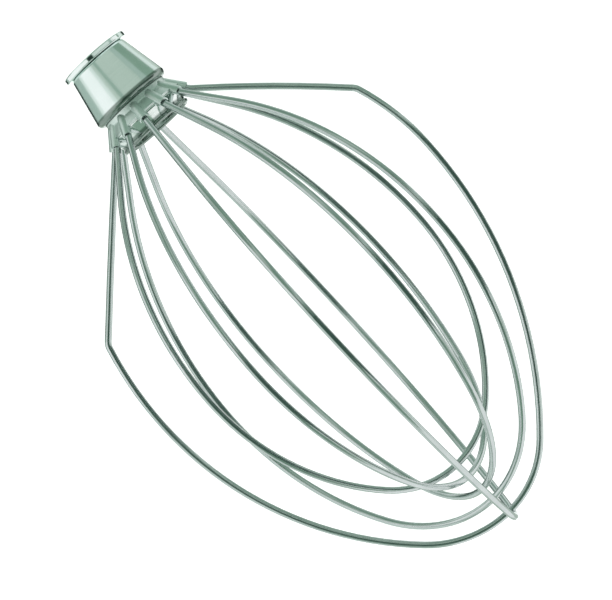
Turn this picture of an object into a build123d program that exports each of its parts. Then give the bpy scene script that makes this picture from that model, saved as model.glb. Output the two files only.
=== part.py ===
"""Wire whisk for a stand mixer: drive sleeve, drawn hub, fluted wire crown, retainer cup and six wire loops.

Millimetres, +Z up. The origin is the centre of the drive bore's mouth, and depths run down from it.
"""
import os
from math import asin, atan, atan2, cos, degrees, hypot, radians, sin, tan
from typing import NamedTuple

from build123d import *

# Wire, and the ring of legs that leaves the crown
WIRE_D = 2.4
EXIT_R = 16.5
CROWN_ANGLE = 38.0
GRIP_LENGTH = 9.4
EXIT_BEND_R = 12.0
SHOULDER_BEND_R = 5.0

# Tip of the cage, and the clear gaps between the wires that cross above it
TIP_DEPTH = 216.0
OUTER_TIP_GAP = 0.1
SECOND_TIP_GAP = 4.8
THIRD_TIP_GAP = 2.6
FOURTH_TIP_GAP = 3.9
INNER_TIP_GAP = 3.0

# Outer loop, whose two shoulders are bent to different sizes
OUTER_RIGHT_RUN = 54.8
OUTER_RIGHT_ARC_R = 88.1
OUTER_LEFT_RUN = 64.0
OUTER_LEFT_ARC_R = 129.6

# Other loops: half width, rise of the widest point above the tip, and straight run from the crown
CROSS_HALF_WIDTH = 62.7
CROSS_RISE = 96.1
CROSS_RUN = 35.7
SECOND_RIGHT_HALF_WIDTH = 60.7
SECOND_LEFT_HALF_WIDTH = 58.1
SECOND_RIGHT_RISE = 83.8
SECOND_LEFT_RISE = 81.0
SECOND_RUN = 20.6
THIRD_HALF_WIDTH = 58.6
THIRD_RIGHT_RISE = 78.9
THIRD_LEFT_RISE = 86.7
THIRD_RUN = 22.9
FOURTH_HALF_WIDTH = 54.2
FOURTH_RIGHT_RISE = 74.5
FOURTH_LEFT_RISE = 77.6
FOURTH_RUN = 12.6
INNER_HALF_WIDTH = 53.5
INNER_RISE = 72.8
INNER_RUN = 17.3

# Level of the hub shell's lower edge, and what lies above and below it
HUB_DEPTH = 21.0
CROWN_OVERLAP = 0.6
CUP_DROP = 2.0
SKIRT_DROP = 5.8
EXIT_DROP = 8.6
HEM_DROP = 11.6

# Drive sleeve: flanged bushing for the mixer's shaft, with a bayonet slot for the shaft's cross pin
SHAFT_D = 12.7
SHAFT_CLEARANCE = 0.1
SLEEVE_FLOOR = 3.0
BORE_CHAMFER = 0.4
BARREL_WALL = 2.1
SPIGOT_SHOULDER = 1.5
FLANGE_OVERHANG = 1.75
FLANGE_THICKNESS = 2.0
FLANGE_FLAT = 1.2
PIN_SLOT_WIDTH = 5.0
PIN_SLOT_DEPTH = 11.0
PIN_STANDOUT = 3.4
PIN_SLOT_TURN = 35.0
RIVET_STEM_D = 6.0
RIVET_HEAD_D = 9.6
RIVET_HEAD_HEIGHT = 1.6

# Hub shell: drawn cup, wider at the bottom, with its lower edge turned under
SHELL_WALL = 0.9
SHELL_CORNER_R = 1.1
SHELL_BEAD_R = 1.7
SHELL_LIP = 0.2
PIN_ROOM = 0.7

# Wire crown: flared skirt pressed over the wires, one flute for each leg
CROWN_WALL = 0.9
CROWN_OFFSET = 1.1
CROWN_CORNER_R = 1.2
NECK_HEIGHT = 2.9
FLUTE_WALL = 0.8
MOUTH_WALL = 0.3
MOUTH_DEPTH = 1.6

# Retainer cup: grooved to back the wires from inside, open at the bottom, with a rolled hem
CUP_WALL = 0.9
CUP_INSET = 1.5
CUP_TAPER = 1.6
CUP_CORNER_R = 1.2
CUP_HEM_D = 1.7

# Gaps between pieces that fit together
FIT_CLEARANCE = 0.1
WIRE_CLEARANCE = 0.05

CROWN_TOP_DEPTH = HUB_DEPTH - CROWN_OVERLAP
CUP_TOP_DEPTH = HUB_DEPTH + CUP_DROP
SKIRT_DEPTH = HUB_DEPTH + SKIRT_DROP
EXIT_DEPTH = HUB_DEPTH + EXIT_DROP
HEM_DEPTH = HUB_DEPTH + HEM_DROP
BORE_R = (SHAFT_D + SHAFT_CLEARANCE) / 2
BORE_DEPTH = CUP_TOP_DEPTH - SLEEVE_FLOOR
BARREL_R = BORE_R + BARREL_WALL
SPIGOT_R = BARREL_R - SPIGOT_SHOULDER
STEM_R = RIVET_STEM_D / 2
PIN_SLOT_REACH = BORE_R + PIN_STANDOUT
SHELL_TOP_R = PIN_SLOT_REACH + PIN_ROOM + SHELL_WALL
FLANGE_R = SHELL_TOP_R + FLANGE_OVERHANG
FLANGE_EDGE_R = (FLANGE_THICKNESS - FLANGE_FLAT) / 2
NECK_DEPTH = CROWN_TOP_DEPTH + NECK_HEIGHT
CUP_R = EXIT_R - CUP_INSET
WIRE_R = WIRE_D / 2
CHANNEL_R = WIRE_R + WIRE_CLEARANCE
FLUTE_R = CHANNEL_R + FLUTE_WALL
MOUTH_R = FLUTE_R - MOUTH_WALL
CUP_OFFSET = CROWN_OFFSET - CROWN_WALL - FIT_CLEARANCE
CROWN_TURN = radians(CROWN_ANGLE)

# Depth of each wire's centre line on the axis
CROSS_DEPTH = TIP_DEPTH - WIRE_R
OUTER_DEPTH = CROSS_DEPTH - WIRE_D - OUTER_TIP_GAP
SECOND_DEPTH = OUTER_DEPTH - WIRE_D - SECOND_TIP_GAP
THIRD_DEPTH = SECOND_DEPTH - WIRE_D - THIRD_TIP_GAP
FOURTH_DEPTH = THIRD_DEPTH - WIRE_D - FOURTH_TIP_GAP
INNER_DEPTH = FOURTH_DEPTH - WIRE_D - INNER_TIP_GAP


class Bow(NamedTuple):
    """Half of a loop that runs straight from the crown and then rounds to its widest point in one arc."""

    half_width: float
    rise: float
    run: float
    flank_turn: float


class ShoulderedBow(NamedTuple):
    """Half of a loop with a bent shoulder between its slightly bowed run and the arc to its widest point."""

    leg_angle: float
    run: float
    run_turn: float
    arc_angle: float
    arc_radius: float
    flank_turn: float


class Loop(NamedTuple):
    """A wire bent in one plane through the axis, with the small lean that it is set at."""

    name: str
    azimuth: float
    lean: float
    depth: float
    halves: tuple


# The cross loop passes under the outer one at the tip, and the others nest inside them
LOOPS = [
    Loop("outer_wire_loop", azimuth=0, lean=0.0, depth=OUTER_DEPTH, halves=(
        ShoulderedBow(leg_angle=48.0, run=OUTER_RIGHT_RUN, run_turn=5.9,
                      arc_angle=19.5, arc_radius=OUTER_RIGHT_ARC_R, flank_turn=42.4),
        ShoulderedBow(leg_angle=44.4, run=OUTER_LEFT_RUN, run_turn=1.1,
                      arc_angle=14.3, arc_radius=OUTER_LEFT_ARC_R, flank_turn=47.2))),
    Loop("cross_wire_loop", azimuth=-90, lean=0.6, depth=CROSS_DEPTH, halves=2 * (
        Bow(half_width=CROSS_HALF_WIDTH, rise=CROSS_RISE, run=CROSS_RUN, flank_turn=57.7),)),
    Loop("second_wire_loop", azimuth=-30, lean=-1.2, depth=SECOND_DEPTH, halves=(
        Bow(half_width=SECOND_RIGHT_HALF_WIDTH, rise=SECOND_RIGHT_RISE, run=SECOND_RUN, flank_turn=42.2),
        Bow(half_width=SECOND_LEFT_HALF_WIDTH, rise=SECOND_LEFT_RISE, run=SECOND_RUN, flank_turn=37.8))),
    Loop("third_wire_loop", azimuth=-60, lean=-0.5, depth=THIRD_DEPTH, halves=(
        Bow(half_width=THIRD_HALF_WIDTH, rise=THIRD_RIGHT_RISE, run=THIRD_RUN, flank_turn=27.0),
        Bow(half_width=THIRD_HALF_WIDTH, rise=THIRD_LEFT_RISE, run=THIRD_RUN, flank_turn=37.6))),
    Loop("fourth_wire_loop", azimuth=-120, lean=-0.2, depth=FOURTH_DEPTH, halves=(
        Bow(half_width=FOURTH_HALF_WIDTH, rise=FOURTH_RIGHT_RISE, run=FOURTH_RUN, flank_turn=43.9),
        Bow(half_width=FOURTH_HALF_WIDTH, rise=FOURTH_LEFT_RISE, run=FOURTH_RUN, flank_turn=20.6))),
    Loop("inner_wire_loop", azimuth=-150, lean=-1.4, depth=INNER_DEPTH, halves=2 * (
        Bow(half_width=INNER_HALF_WIDTH, rise=INNER_RISE, run=INNER_RUN, flank_turn=47.6),)),
]


def heading(angle):
    """Direction down a loop's plane, turned outward from the axis by an angle in degrees."""
    return Vector(sin(radians(angle)), -cos(radians(angle)))


def bend(start, angle, radius, end_angle):
    """Arc that turns a wire from one heading to another."""
    return JernArc(start, heading(angle), radius, end_angle - angle)


def straight(start, angle, length):
    """Straight stretch of wire along a heading."""
    return Line(start, start + heading(angle) * length)


def smooth_leg(half, depth):
    """Slight bend out of the crown, straight run, and one arc to the loop's widest point."""
    widest = Vector(half.half_width, EXIT_DEPTH - depth + half.rise)
    angle = degrees(2 * atan((widest.X - EXIT_R) / (half.run - widest.Y)))
    exit_bend = bend(Vector(EXIT_R, 0), CROWN_ANGLE, EXIT_BEND_R, angle)
    way = widest - exit_bend @ 1
    turn = radians(angle)
    run = way.Y + way.X * sin(turn) / (1 - cos(turn))
    leg = straight(exit_bend @ 1, angle, run)
    arc_radius = ((leg @ 1).Y - widest.Y) / sin(turn)
    return [exit_bend, leg, bend(leg @ 1, angle, arc_radius, 0)]


def shouldered_leg(half):
    """Slight bend out of the crown, bowed run, bent shoulder, and one arc to the loop's widest point."""
    start_angle = half.leg_angle + half.run_turn / 2
    end_angle = half.leg_angle - half.run_turn / 2
    exit_bend = bend(Vector(EXIT_R, 0), CROWN_ANGLE, EXIT_BEND_R, start_angle)
    leg = bend(exit_bend @ 1, start_angle, half.run / radians(half.run_turn), end_angle)
    shoulder = bend(leg @ 1, end_angle, SHOULDER_BEND_R, half.arc_angle)
    return [exit_bend, leg, shoulder, bend(shoulder @ 1, half.arc_angle, half.arc_radius, 0)]


def belly(widest, depth, flank_turn):
    """Two arcs from the widest point, where the wire runs straight down, to the level tip on the axis."""
    drop = widest.Y + depth - EXIT_DEPTH
    across, down = cos(radians(flank_turn)), sin(radians(flank_turn))
    flank_radius = (drop * across - widest.X * (1 - down)) / (across + down - 1)
    tip_radius = (widest.X * down - drop * (1 - across)) / (across + down - 1)
    flank = bend(widest, 0, flank_radius, -flank_turn)
    return [flank, bend(flank @ 1, -flank_turn, tip_radius, -90)]


def half_path(half, depth):
    """Centre line of half a loop in its plane, from the wire's end in the crown to the tip."""
    grip = straight(Vector(EXIT_R, 0) - heading(CROWN_ANGLE) * GRIP_LENGTH, CROWN_ANGLE, GRIP_LENGTH)
    leg = shouldered_leg(half) if isinstance(half, ShoulderedBow) else smooth_leg(half, depth)
    return [grip, *leg, *belly(leg[-1] @ 1, depth, half.flank_turn)]


def stand(loop):
    """Where a loop's plane stands: turned about the axis, and leaning from the level of the crown's exits."""
    return Pos(Z=-EXIT_DEPTH) * Rot(Z=loop.azimuth) * Rot(X=90 + loop.lean)


def wire_loop(loop):
    """One round wire bent to a bow, with both ends in the crown."""
    right, left = (half_path(half, loop.depth) for half in loop.halves)
    path = Wire([edge.edge() for edge in right] + [edge.mirror(Plane.YZ).edge() for edge in left])
    section = Plane(path @ 0, z_dir=path % 0) * Circle(WIRE_R)
    return stand(loop) * sweep(section, path=path)


def on_legs(loop, piece):
    """A piece set on both legs of a loop, its own Z down the leg and its origin at the crown's exit."""
    legs = [Plane((side * EXIT_R, 0, 0), z_dir=(side * sin(CROWN_TURN), -cos(CROWN_TURN), 0))
            for side in (-1, 1)]
    return [stand(loop) * leg.location * piece for leg in legs]


def along_leg(radius, start, end):
    """Round bar about a leg's centre line, from a distance above the crown's exit to a distance below it."""
    return Pos(Z=end) * Cylinder(radius, start + end, align=(Align.CENTER, Align.CENTER, Align.MAX))


def leg_channel():
    """Room for a wire's end, a little longer than the wire's grip and open at the crown's exit."""
    return along_leg(CHANNEL_R, GRIP_LENGTH + WIRE_CLEARANCE, FLUTE_R)


def leg_cone_r(depth, offset):
    """Radius, at a depth, of the cone that lies outside the legs' centre lines by an offset."""
    return EXIT_R + (depth - EXIT_DEPTH) * tan(CROWN_TURN) + offset / cos(CROWN_TURN)


def neck_radius():
    """Radius of the crown's neck, where the cone over the legs starts."""
    return leg_cone_r(NECK_DEPTH, CROWN_OFFSET)


def leg_cone_depth(radius, offset):
    """Depth at which that cone has a radius."""
    return EXIT_DEPTH + (radius - offset / cos(CROWN_TURN) - EXIT_R) / tan(CROWN_TURN)


def turned(section):
    """Solid turned about the axis from a section drawn as radius and height."""
    return revolve(Plane.XZ * section, Axis.Z)


def pressed_section(points, corner_radius, wall):
    """Section of a pressed sheet: its outer line from the top edge down, with the wall inside."""
    line = FilletPolyline(*points, radius=corner_radius)
    return make_face(offset(line, amount=wall, side=Side.RIGHT).edges())


def pin_slot():
    """Bayonet way for the shaft's cross pin: straight down, then round to a pocket."""
    inward_down = (Align.MIN, Align.CENTER, Align.MAX)
    inward_up = (Align.MIN, Align.CENTER, Align.MIN)
    entry = Box(PIN_SLOT_REACH, PIN_SLOT_WIDTH, PIN_SLOT_DEPTH, align=inward_down)
    pocket = Box(PIN_SLOT_REACH, PIN_SLOT_WIDTH, PIN_SLOT_WIDTH, align=inward_up)
    window = Plane.XZ * Rectangle(PIN_SLOT_REACH, PIN_SLOT_WIDTH, align=Align.MIN)
    way_round = revolve(window, Axis.Z, revolution_arc=PIN_SLOT_TURN)
    return entry + Pos(Z=-PIN_SLOT_DEPTH) * (way_round + Rot(Z=PIN_SLOT_TURN) * pocket)


def drive_sleeve():
    """Turned bushing: flange, slotted barrel with a blind bore, and a stem that is riveted under the cup."""
    head_r = RIVET_HEAD_D / 2
    head_top = -CUP_TOP_DEPTH - CUP_WALL
    head_bottom = head_top - RIVET_HEAD_HEIGHT
    side = Polyline(
        (0, -BORE_DEPTH), (BORE_R, -BORE_DEPTH), (BORE_R, -BORE_CHAMFER), (BORE_R + BORE_CHAMFER, 0),
        (FLANGE_R, 0), (FLANGE_R, -FLANGE_THICKNESS), (BARREL_R, -FLANGE_THICKNESS),
        (BARREL_R, -CROWN_TOP_DEPTH), (SPIGOT_R, -CROWN_TOP_DEPTH), (SPIGOT_R, -CUP_TOP_DEPTH),
        (STEM_R, -CUP_TOP_DEPTH), (STEM_R, head_top), (head_r, head_top))
    dome_r = (head_r**2 + RIVET_HEAD_HEIGHT**2) / (2 * RIVET_HEAD_HEIGHT)
    dome = RadiusArc((head_r, head_top), (0, head_bottom), dome_r)
    axis = Line((0, head_bottom), (0, -BORE_DEPTH))
    sleeve = turned(make_face([*side.edges(), dome.edge(), axis.edge()]))
    circles = sleeve.edges().filter_by(GeomType.CIRCLE)
    rim = circles.filter_by(lambda circle: circle.radius > SHELL_TOP_R)
    return fillet(rim, FLANGE_EDGE_R) - pin_slot()


def hub_shell():
    """Drawn cup under the sleeve's flange, tapered to meet the bead tangentially, with a way for the pin."""
    lip_r = neck_radius() + FIT_CLEARANCE
    to_bead = Vector(lip_r + SHELL_LIP - SHELL_TOP_R, HUB_DEPTH - SHELL_BEAD_R - FLANGE_THICKNESS)
    taper = atan2(to_bead.X, to_bead.Y) + asin(SHELL_BEAD_R / hypot(to_bead.X, to_bead.Y))
    foot_r = SHELL_TOP_R + (HUB_DEPTH - FLANGE_THICKNESS) * tan(taper)
    points = [
        (BARREL_R + FIT_CLEARANCE, -FLANGE_THICKNESS), (SHELL_TOP_R, -FLANGE_THICKNESS),
        (foot_r, -HUB_DEPTH), (lip_r, -HUB_DEPTH)]
    return turned(pressed_section(points, [SHELL_CORNER_R, SHELL_BEAD_R], SHELL_WALL)) - pin_slot()


def crown_room():
    """The room inside the crown's sheet."""
    offset_in = CROWN_OFFSET - CROWN_WALL
    neck_r = neck_radius() - CROWN_WALL
    top = -CROWN_TOP_DEPTH - CROWN_WALL
    room = Polyline(
        (0, top), (neck_r, top), (neck_r, -leg_cone_depth(neck_r, offset_in)),
        (leg_cone_r(HEM_DEPTH, offset_in), -HEM_DEPTH), (0, -HEM_DEPTH), close=True)
    return turned(make_face(room.edges()))


def wire_crown():
    """Flared skirt with a flute over each leg, a channel for the wire in it and a wider mouth at its end."""
    points = [
        (SPIGOT_R + FIT_CLEARANCE, -CROWN_TOP_DEPTH), (neck_radius(), -CROWN_TOP_DEPTH),
        (neck_radius(), -NECK_DEPTH), (leg_cone_r(SKIRT_DEPTH, CROWN_OFFSET), -SKIRT_DEPTH)]
    crown = turned(pressed_section(points, CROWN_CORNER_R, CROWN_WALL))
    flute = along_leg(FLUTE_R, GRIP_LENGTH, 0)
    way_out = leg_channel() + along_leg(MOUTH_R, MOUTH_DEPTH, FLUTE_R)
    room = crown_room()
    for loop in LOOPS:
        for leg_flute in on_legs(loop, flute):
            crown += leg_flute - room
    for loop in LOOPS:
        for leg_way in on_legs(loop, way_out):
            crown -= leg_way
    return crown


def retainer_cup():
    """Pressed cup held by the rivet, with a groove for each wire and a rolled hem at its mouth."""
    hem_r = CUP_R - CUP_TAPER
    points = [
        (STEM_R + FIT_CLEARANCE, -CUP_TOP_DEPTH), (leg_cone_r(CUP_TOP_DEPTH, CUP_OFFSET), -CUP_TOP_DEPTH),
        (CUP_R, -leg_cone_depth(CUP_R, CUP_OFFSET)), (hem_r, -HEM_DEPTH)]
    side = FilletPolyline(*points, radius=CUP_CORNER_R)
    inside = Polyline(side @ 1, (0, -HEM_DEPTH), (0, -CUP_TOP_DEPTH), side @ 0)
    room = turned(make_face([*side.edges(), *inside.edges()]))
    section = pressed_section(points, CUP_CORNER_R, CUP_WALL)
    cup = turned(section + Pos(hem_r, -HEM_DEPTH) * Circle(CUP_HEM_D / 2))
    for loop in LOOPS:
        for groove in on_legs(loop, along_leg(FLUTE_R, GRIP_LENGTH, 0)):
            cup += groove & room
    for loop in LOOPS:
        for channel in on_legs(loop, leg_channel()):
            cup -= channel
    return cup


def main():
    """Write a STEP file for each piece."""
    nodes = {
        "drive_sleeve": drive_sleeve(),
        "hub_shell": hub_shell(),
        "wire_crown": wire_crown(),
        "retainer_cup": retainer_cup(),
    }
    for loop in LOOPS:
        nodes[loop.name] = wire_loop(loop)
    os.makedirs("parts", exist_ok=True)
    for name, solid in nodes.items():
        export_step(solid, f"parts/{name}.step")


main()
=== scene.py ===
"""Wire whisk in steel, with a white table behind it, a light tent round it and the camera."""
from math import cos, radians, sin
from typing import NamedTuple

import bpy
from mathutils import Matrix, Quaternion, Vector


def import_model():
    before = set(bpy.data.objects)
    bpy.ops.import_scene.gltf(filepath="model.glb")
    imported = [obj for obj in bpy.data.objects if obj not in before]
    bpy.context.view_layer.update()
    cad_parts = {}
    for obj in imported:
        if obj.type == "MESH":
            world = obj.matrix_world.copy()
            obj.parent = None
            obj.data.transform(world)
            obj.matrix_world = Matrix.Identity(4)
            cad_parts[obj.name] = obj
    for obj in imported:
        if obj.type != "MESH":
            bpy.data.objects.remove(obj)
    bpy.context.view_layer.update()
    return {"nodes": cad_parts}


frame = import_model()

# Camera: place, aim point and roll in the whisk's frame, with the picture's width on the sensor
CAMERA_PLACE = Vector((0.0976, -1.3928, -0.1418))
CAMERA_AIM = Vector((-0.0017, -0.0001, -0.1115))
CAMERA_ROLL = -41.98
CAMERA_REACH = 20.0
SENSOR_WIDTH = 36.0
LENS = 238.8

# White table behind the whisk, square to the camera
TABLE_GAP = 1.1
TABLE_SIZE = 0.6
TABLE_COLOR = (0.92, 0.93, 0.925)
TABLE_ROUGHNESS = 0.7
TABLE_GLOW = 0.7

# Noise: its usual detail, and the band in which most of its values lie
NOISE_DETAIL = 3.0
NOISE_BAND = (0.3, 0.7)

# Clouding of colour and gloss on all the steel
CLOUD_SCALE = 140
CLOUD_DETAIL = 4.0

# Stray hairline scratches: long streaks, only where their noise is high
SCRATCH_SCALE = 30
SCRATCH_STRETCH = (60, 3, 3)
SCRATCH_TURN = (20, 35, 60)
SCRATCH_BAND = (0.66, 0.72)
SCRATCH_ROUGHNESS = 0.08

# Tool lines: their full height, and their run round the axis, along it or neither way
LINE_HEIGHT = 0.0001
ROUND_AXIS = (0.02, 0.02, 1)
ALONG_AXIS = (1, 1, 0.05)
NEITHER_WAY = (1, 1, 1)

# Painted shade on the rolled lower edges of the hub shell and of the retainer cup, a darker tone standing in
# for the shadow and dark reflection under them: heights where the painted shade starts and is full
SHELL_SHADE_HEIGHTS = (-0.0182, -0.0187)
HEM_SHADE_HEIGHTS = (-0.0306, -0.0312)
PAINTED_SHADE_COLOR = (0.29, 0.35, 0.32)

# Light tent: four tiers of upright walls round the whisk's axis, with a lid, a base and some cards
TENT_R = 1.7
TENT_TOP = 1.9
TENT_SHOULDER = 1.2
TENT_WAIST = 0.03
TENT_KNEE = -0.85
TENT_BASE = -1.6
TENT_BACK = 178
WALL_STEP = 3.0
OUTER_CARD_R = 1.66
INNER_CARD_R = 1.62
LID_SPLIT_X = -0.25
LID_SPLIT_Y = -0.4
BASE_SIDE_X = -0.9
BASE_FRONT_X = 0.5
BASE_FRONT_Y = -1.0

# Tones of the tent's cloth
WHITE = (1.0, 1.0, 1.0)
PALE = (0.76, 0.82, 0.79)
GREY = (0.53, 0.61, 0.55)
SHADE = (0.39, 0.49, 0.44)
DIM = (0.30, 0.41, 0.35)
DUSK = (0.22, 0.33, 0.26)
GLOOM = (0.06, 0.105, 0.085)
DARK = (0.015, 0.03, 0.025)


class Finish(NamedTuple):
    """Steel of a piece: its colours, its roughness, its tool lines and the heights of a band of painted
    shade at its lower edge.
    """

    dark: tuple
    light: tuple
    smooth: float
    rough: float
    lines: float
    line_strength: float
    line_run: tuple
    edge: tuple = ()


class Tier(NamedTuple):
    """Ring of walls between two heights: where each wall ends, from the back round, and its colour."""

    bottom: float
    top: float
    walls: list


class Card(NamedTuple):
    """Upright card in the tent: distance from the axis, bearings, heights and colour."""

    radius: float
    start: float
    end: float
    bottom: float
    top: float
    color: tuple


SLEEVE_FINISH = Finish(
    dark=(0.82, 0.91, 0.88), light=(0.88, 0.96, 0.94), smooth=0.06, rough=0.11,
    lines=4000, line_strength=0.03, line_run=ROUND_AXIS)
# The shell and the cup carry painted shade at their lower edges
SHELL_FINISH = Finish(
    dark=(0.80, 0.90, 0.87), light=(0.86, 0.95, 0.93), smooth=0.12, rough=0.18,
    lines=5000, line_strength=0.03, line_run=ROUND_AXIS, edge=SHELL_SHADE_HEIGHTS)
CROWN_FINISH = Finish(
    dark=(0.72, 0.82, 0.78), light=(0.82, 0.91, 0.88), smooth=0.30, rough=0.40,
    lines=1500, line_strength=0.05, line_run=NEITHER_WAY)
CUP_FINISH = Finish(
    dark=(0.88, 0.95, 0.92), light=(0.93, 0.98, 0.96), smooth=0.08, rough=0.13,
    lines=4000, line_strength=0.04, line_run=ROUND_AXIS, edge=HEM_SHADE_HEIGHTS)
WIRE_FINISH = Finish(
    dark=(0.58, 0.64, 0.63), light=(0.66, 0.72, 0.71), smooth=0.09, rough=0.16,
    lines=6000, line_strength=0.015, line_run=ALONG_AXIS)

# Bearings count from the camera's side towards +X
TIERS = {
    "top": Tier(TENT_SHOULDER, TENT_TOP, [
        (-95, GREY), (-35, SHADE), (60, DUSK), (110, DIM), (TENT_BACK, PALE)]),
    "middle": Tier(TENT_WAIST, TENT_SHOULDER, [
        (-140, DARK), (-97, SHADE), (-85, PALE), (-40, WHITE), (-29, PALE), (-17, GREY),
        (-6, DIM), (64, GREY), (82, SHADE), (120, DUSK), (142, PALE), (TENT_BACK, GREY)]),
    "lower": Tier(TENT_KNEE, TENT_WAIST, [
        (-135, GREY), (-45, PALE), (-28, DUSK), (100, GLOOM), (135, WHITE), (TENT_BACK, GREY)]),
    "foot": Tier(TENT_BASE, TENT_KNEE, [
        (-135, GREY), (-70, PALE), (25, DUSK), (90, GREY), (135, WHITE), (TENT_BACK, GREY)]),
}
CARDS = {
    "chest_card": Card(OUTER_CARD_R, start=-22, end=66, bottom=0.03, top=0.72, color=DUSK),
    "left_card": Card(OUTER_CARD_R, start=-152, end=-118, bottom=0.85, top=1.70, color=GLOOM),
    "rim_dark_card": Card(INNER_CARD_R, start=-16, end=3, bottom=0.04, top=0.30, color=DARK),
    "rim_white_card": Card(INNER_CARD_R, start=-125, end=-18, bottom=0.10, top=0.24, color=WHITE),
    "rim_grey_card": Card(INNER_CARD_R, start=4, end=70, bottom=0.12, top=0.21, color=PALE),
    "rim_end_card": Card(INNER_CARD_R, start=82, end=112, bottom=0.10, top=0.22, color=WHITE),
    "cup_card": Card(INNER_CARD_R, start=12, end=62, bottom=-1.03, top=-0.86, color=WHITE),
    "back_card": Card(INNER_CARD_R, start=146, end=TENT_BACK, bottom=-0.40, top=0.24, color=DARK),
}

# Sheets of the lid and of the base: sides from left to right, from front to back, and colour
LID_SHEETS = [
    (-TENT_R, LID_SPLIT_X, -TENT_R, LID_SPLIT_Y, GREY),
    (-TENT_R, LID_SPLIT_X, LID_SPLIT_Y, TENT_R, PALE),
    (LID_SPLIT_X, TENT_R, -TENT_R, LID_SPLIT_Y, DUSK),
    (LID_SPLIT_X, TENT_R, LID_SPLIT_Y, TENT_R, DIM),
]
BASE_SHEETS = [
    (-TENT_R, BASE_SIDE_X, BASE_FRONT_Y, TENT_R, GREY),
    (BASE_SIDE_X, TENT_R, BASE_FRONT_Y, TENT_R, WHITE),
    (-TENT_R, BASE_FRONT_X, -TENT_R, BASE_FRONT_Y, DUSK),
    (BASE_FRONT_X, TENT_R, -TENT_R, BASE_FRONT_Y, PALE),
]


def rgba(color):
    """A colour with full cover."""
    return (*color, 1)


def add_node(tree, kind, **settings):
    """A node with its properties and its inputs' values set by name."""
    node = tree.nodes.new(kind)
    for name, value in settings.items():
        if name in node.inputs:
            node.inputs[name].default_value = value
        else:
            setattr(node, name, value)
    return node


def new_material(name):
    """An empty node material with its node tree and its surface socket."""
    material = bpy.data.materials.new(name)
    material.use_nodes = True
    material.node_tree.nodes.clear()
    output = material.node_tree.nodes.new("ShaderNodeOutputMaterial")
    return material, material.node_tree, output.inputs["Surface"]


def noise(tree, scale, stretch=(1, 1, 1), turn=(0, 0, 0), detail=NOISE_DETAIL):
    """Noise over the object's own coordinates, stretched and turned."""
    place = add_node(tree, "ShaderNodeTexCoord")
    angles = [radians(angle) for angle in turn]
    mapping = add_node(tree, "ShaderNodeMapping", Scale=stretch, Rotation=angles)
    texture = add_node(tree, "ShaderNodeTexNoise", Scale=scale, Detail=detail)
    tree.links.new(place.outputs["Object"], mapping.inputs["Vector"])
    tree.links.new(mapping.outputs["Vector"], texture.inputs["Vector"])
    return texture.outputs["Fac"]


def ranged(tree, value, low, high, band=NOISE_BAND):
    """A value spread from a band to a low-to-high one."""
    start, end = band
    bounds = {"From Min": start, "From Max": end, "To Min": low, "To Max": high}
    node = add_node(tree, "ShaderNodeMapRange", **bounds)
    tree.links.new(value, node.inputs["Value"])
    return node.outputs["Result"]


def tinted(tree, value, first, last):
    """A colour between two colours, set or linked, by a value."""
    node = add_node(tree, "ShaderNodeMix", data_type="RGBA")
    tree.links.new(value, node.inputs["Factor"])
    sockets = [socket for socket in node.inputs if socket.type == "RGBA"]
    for socket, color in zip(sockets, (first, last)):
        if isinstance(color, tuple):
            socket.default_value = rgba(color)
        else:
            tree.links.new(color, socket)
    return next(socket for socket in node.outputs if socket.type == "RGBA")


def added(tree, first, second):
    """Sum of two values."""
    node = add_node(tree, "ShaderNodeMath", operation="ADD")
    tree.links.new(first, node.inputs[0])
    tree.links.new(second, node.inputs[1])
    return node.outputs["Value"]


def below(tree, heights):
    """Share that grows from 0 to 1 between two heights of the piece."""
    place = add_node(tree, "ShaderNodeTexCoord")
    height = add_node(tree, "ShaderNodeSeparateXYZ")
    tree.links.new(place.outputs["Object"], height.inputs["Vector"])
    return ranged(tree, height.outputs["Z"], 0, 1, heights)


def steel(name, finish):
    """Bright steel with tool lines, clouded gloss, hairline scratches and, where set, painted shade
    darkening its lower edge.
    """
    material, tree, surface = new_material(name)
    cloud = noise(tree, CLOUD_SCALE, detail=CLOUD_DETAIL)
    tool = noise(tree, finish.lines, stretch=finish.line_run)
    streaks = noise(tree, SCRATCH_SCALE, stretch=SCRATCH_STRETCH, turn=SCRATCH_TURN)
    scratch = ranged(tree, streaks, 0, SCRATCH_ROUGHNESS, SCRATCH_BAND)
    shader = add_node(tree, "ShaderNodeBsdfPrincipled", Metallic=1.0)
    color = tinted(tree, ranged(tree, cloud, 0, 1), finish.dark, finish.light)
    # Painted shade: the colour darkens towards the lower edge, standing in for shadow and dark reflection
    if finish.edge:
        color = tinted(tree, below(tree, finish.edge), color, PAINTED_SHADE_COLOR)
    tree.links.new(color, shader.inputs["Base Color"])
    lined = ranged(tree, tool, finish.smooth, finish.rough)
    clouded = ranged(tree, cloud, 0, finish.rough - finish.smooth)
    gloss = added(tree, lined, clouded)
    tree.links.new(added(tree, gloss, scratch), shader.inputs["Roughness"])
    bump = add_node(tree, "ShaderNodeBump", Strength=finish.line_strength, Distance=LINE_HEIGHT)
    tree.links.new(tool, bump.inputs["Height"])
    tree.links.new(bump.outputs["Normal"], shader.inputs["Normal"])
    tree.links.new(shader.outputs["BSDF"], surface)
    return material


def glow(name, color):
    """Plain evenly lit cloth of the tent."""
    material, tree, surface = new_material(name)
    shader = add_node(tree, "ShaderNodeEmission", Color=rgba(color), Strength=1.0)
    tree.links.new(shader.outputs["Emission"], surface)
    return material


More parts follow.
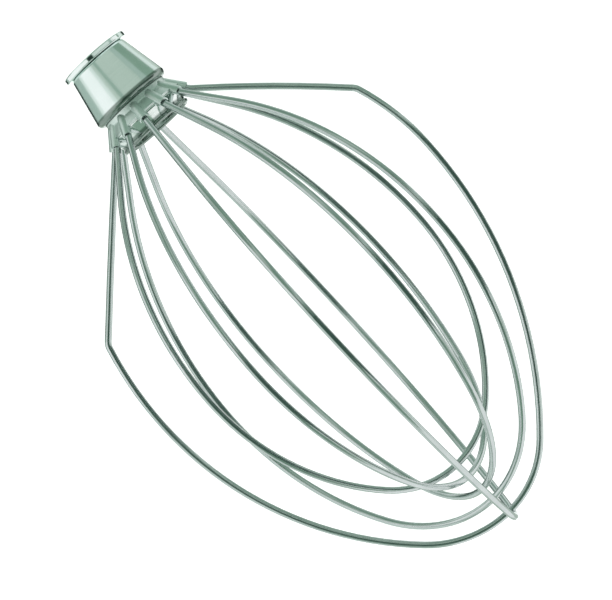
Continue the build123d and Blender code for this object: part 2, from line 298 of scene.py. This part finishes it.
def table_paper():
    """White paper that takes the whisk's shadow, and can be seen through from behind."""
    material, tree, surface = new_material("table_paper")
    paper = add_node(tree, "ShaderNodeBsdfPrincipled", Roughness=TABLE_ROUGHNESS)
    paper.inputs["Base Color"].default_value = rgba(TABLE_COLOR)
    paper.inputs["Emission Color"].default_value = rgba(WHITE)
    paper.inputs["Emission Strength"].default_value = TABLE_GLOW
    clear = add_node(tree, "ShaderNodeBsdfTransparent")
    side = add_node(tree, "ShaderNodeNewGeometry")
    mix = add_node(tree, "ShaderNodeMixShader")
    tree.links.new(side.outputs["Backfacing"], mix.inputs[0])
    tree.links.new(paper.outputs["BSDF"], mix.inputs[1])
    tree.links.new(clear.outputs["BSDF"], mix.inputs[2])
    tree.links.new(mix.outputs["Shader"], surface)
    return material


def staged(name, verts, faces, material):
    """A piece of the set, which isn't part of the whisk."""
    mesh = bpy.data.meshes.new(name)
    mesh.from_pydata(verts, [], faces)
    mesh.materials.append(material)
    piece = bpy.data.objects.new(name, mesh)
    bpy.context.scene.collection.objects.link(piece)
    return piece


def tent_wall(name, radius, bearings, bottom, top, material):
    """Upright wall between two bearings."""
    start, end = bearings
    count = max(1, round((end - start) / WALL_STEP))
    verts = []
    for step in range(count + 1):
        bearing = radians(start + (end - start) * step / count)
        x, y = radius * sin(bearing), -radius * cos(bearing)
        verts += [(x, y, bottom), (x, y, top)]
    faces = [(2 * k, 2 * k + 2, 2 * k + 3, 2 * k + 1) for k in range(count)]
    staged(name, verts, faces, material).visible_camera = False


def tent_sheet(name, sides, height, material):
    """Level sheet across the tent."""
    left, right, front, back = sides
    corners = [(left, front, height), (right, front, height), (right, back, height), (left, back, height)]
    staged(name, corners, [(0, 1, 2, 3)], material).visible_camera = False


def tent_tier(name, tier, cloths):
    """One tier of walls, from the back round to the back again."""
    start = -TENT_BACK
    for index, (end, color) in enumerate(tier.walls):
        tent_wall(f"tent_{name}_{index}", TENT_R, (start, end), tier.bottom, tier.top, cloths[color])
        start = end


def tent():
    """Walls of the tent, the cards in it, its lid and its base."""
    colors = (WHITE, PALE, GREY, SHADE, DIM, DUSK, GLOOM, DARK)
    cloths = {color: glow(f"tent_cloth_{k}", color) for k, color in enumerate(colors)}
    for name, tier in TIERS.items():
        tent_tier(name, tier, cloths)
    for name, card in CARDS.items():
        tent_wall(name, card.radius, (card.start, card.end), card.bottom, card.top, cloths[card.color])
    for end, sheets, height in (("lid", LID_SHEETS, TENT_TOP), ("base", BASE_SHEETS, TENT_BASE)):
        for index, (*sides, color) in enumerate(sheets):
            tent_sheet(f"tent_{end}_{index}", sides, height, cloths[color])


def camera_turn():
    """The camera's turn: towards the aim point, then rolled."""
    ahead = CAMERA_AIM - CAMERA_PLACE
    return ahead.to_track_quat("-Z", "Y") @ Quaternion((0, 0, 1), radians(CAMERA_ROLL))


def table():
    """Table square to the camera, behind the whisk."""
    half = TABLE_SIZE / 2
    corners = [(-half, -half, 0), (half, -half, 0), (half, half, 0), (-half, half, 0)]
    sheet = staged("table", corners, [(0, 1, 2, 3)], table_paper())
    ahead = (CAMERA_AIM - CAMERA_PLACE).normalized()
    sheet.rotation_mode = "QUATERNION"
    sheet.rotation_quaternion = camera_turn()
    sheet.location = CAMERA_AIM + ahead * TABLE_GAP


def camera():
    """The camera that gives the picture's view."""
    data = bpy.data.cameras.new("camera")
    data.sensor_width = SENSOR_WIDTH
    data.lens = LENS
    data.clip_end = CAMERA_REACH
    piece = bpy.data.objects.new("camera", data)
    piece.location = CAMERA_PLACE
    piece.rotation_mode = "QUATERNION"
    piece.rotation_quaternion = camera_turn()
    bpy.context.scene.collection.objects.link(piece)
    bpy.context.scene.camera = piece


def world():
    """White room."""
    room = bpy.data.worlds.new("room")
    room.use_nodes = True
    background = room.node_tree.nodes["Background"]
    background.inputs["Color"].default_value = rgba(WHITE)
    background.inputs["Strength"].default_value = 1.0
    bpy.context.scene.world = room


def finishes():
    """The steel of each piece of the whisk."""
    steels = {
        "drive_sleeve": steel("sleeve_steel", SLEEVE_FINISH),
        "hub_shell": steel("shell_steel", SHELL_FINISH),
        "wire_crown": steel("crown_steel", CROWN_FINISH),
        "retainer_cup": steel("cup_steel", CUP_FINISH),
    }
    wire = steel("wire_steel", WIRE_FINISH)
    for name, node in frame["nodes"].items():
        node.data.materials.clear()
        node.data.materials.append(steels.get(name, wire))


bpy.context.scene.view_settings.view_transform = "Standard"
finishes()
table()
tent()
world()
camera()
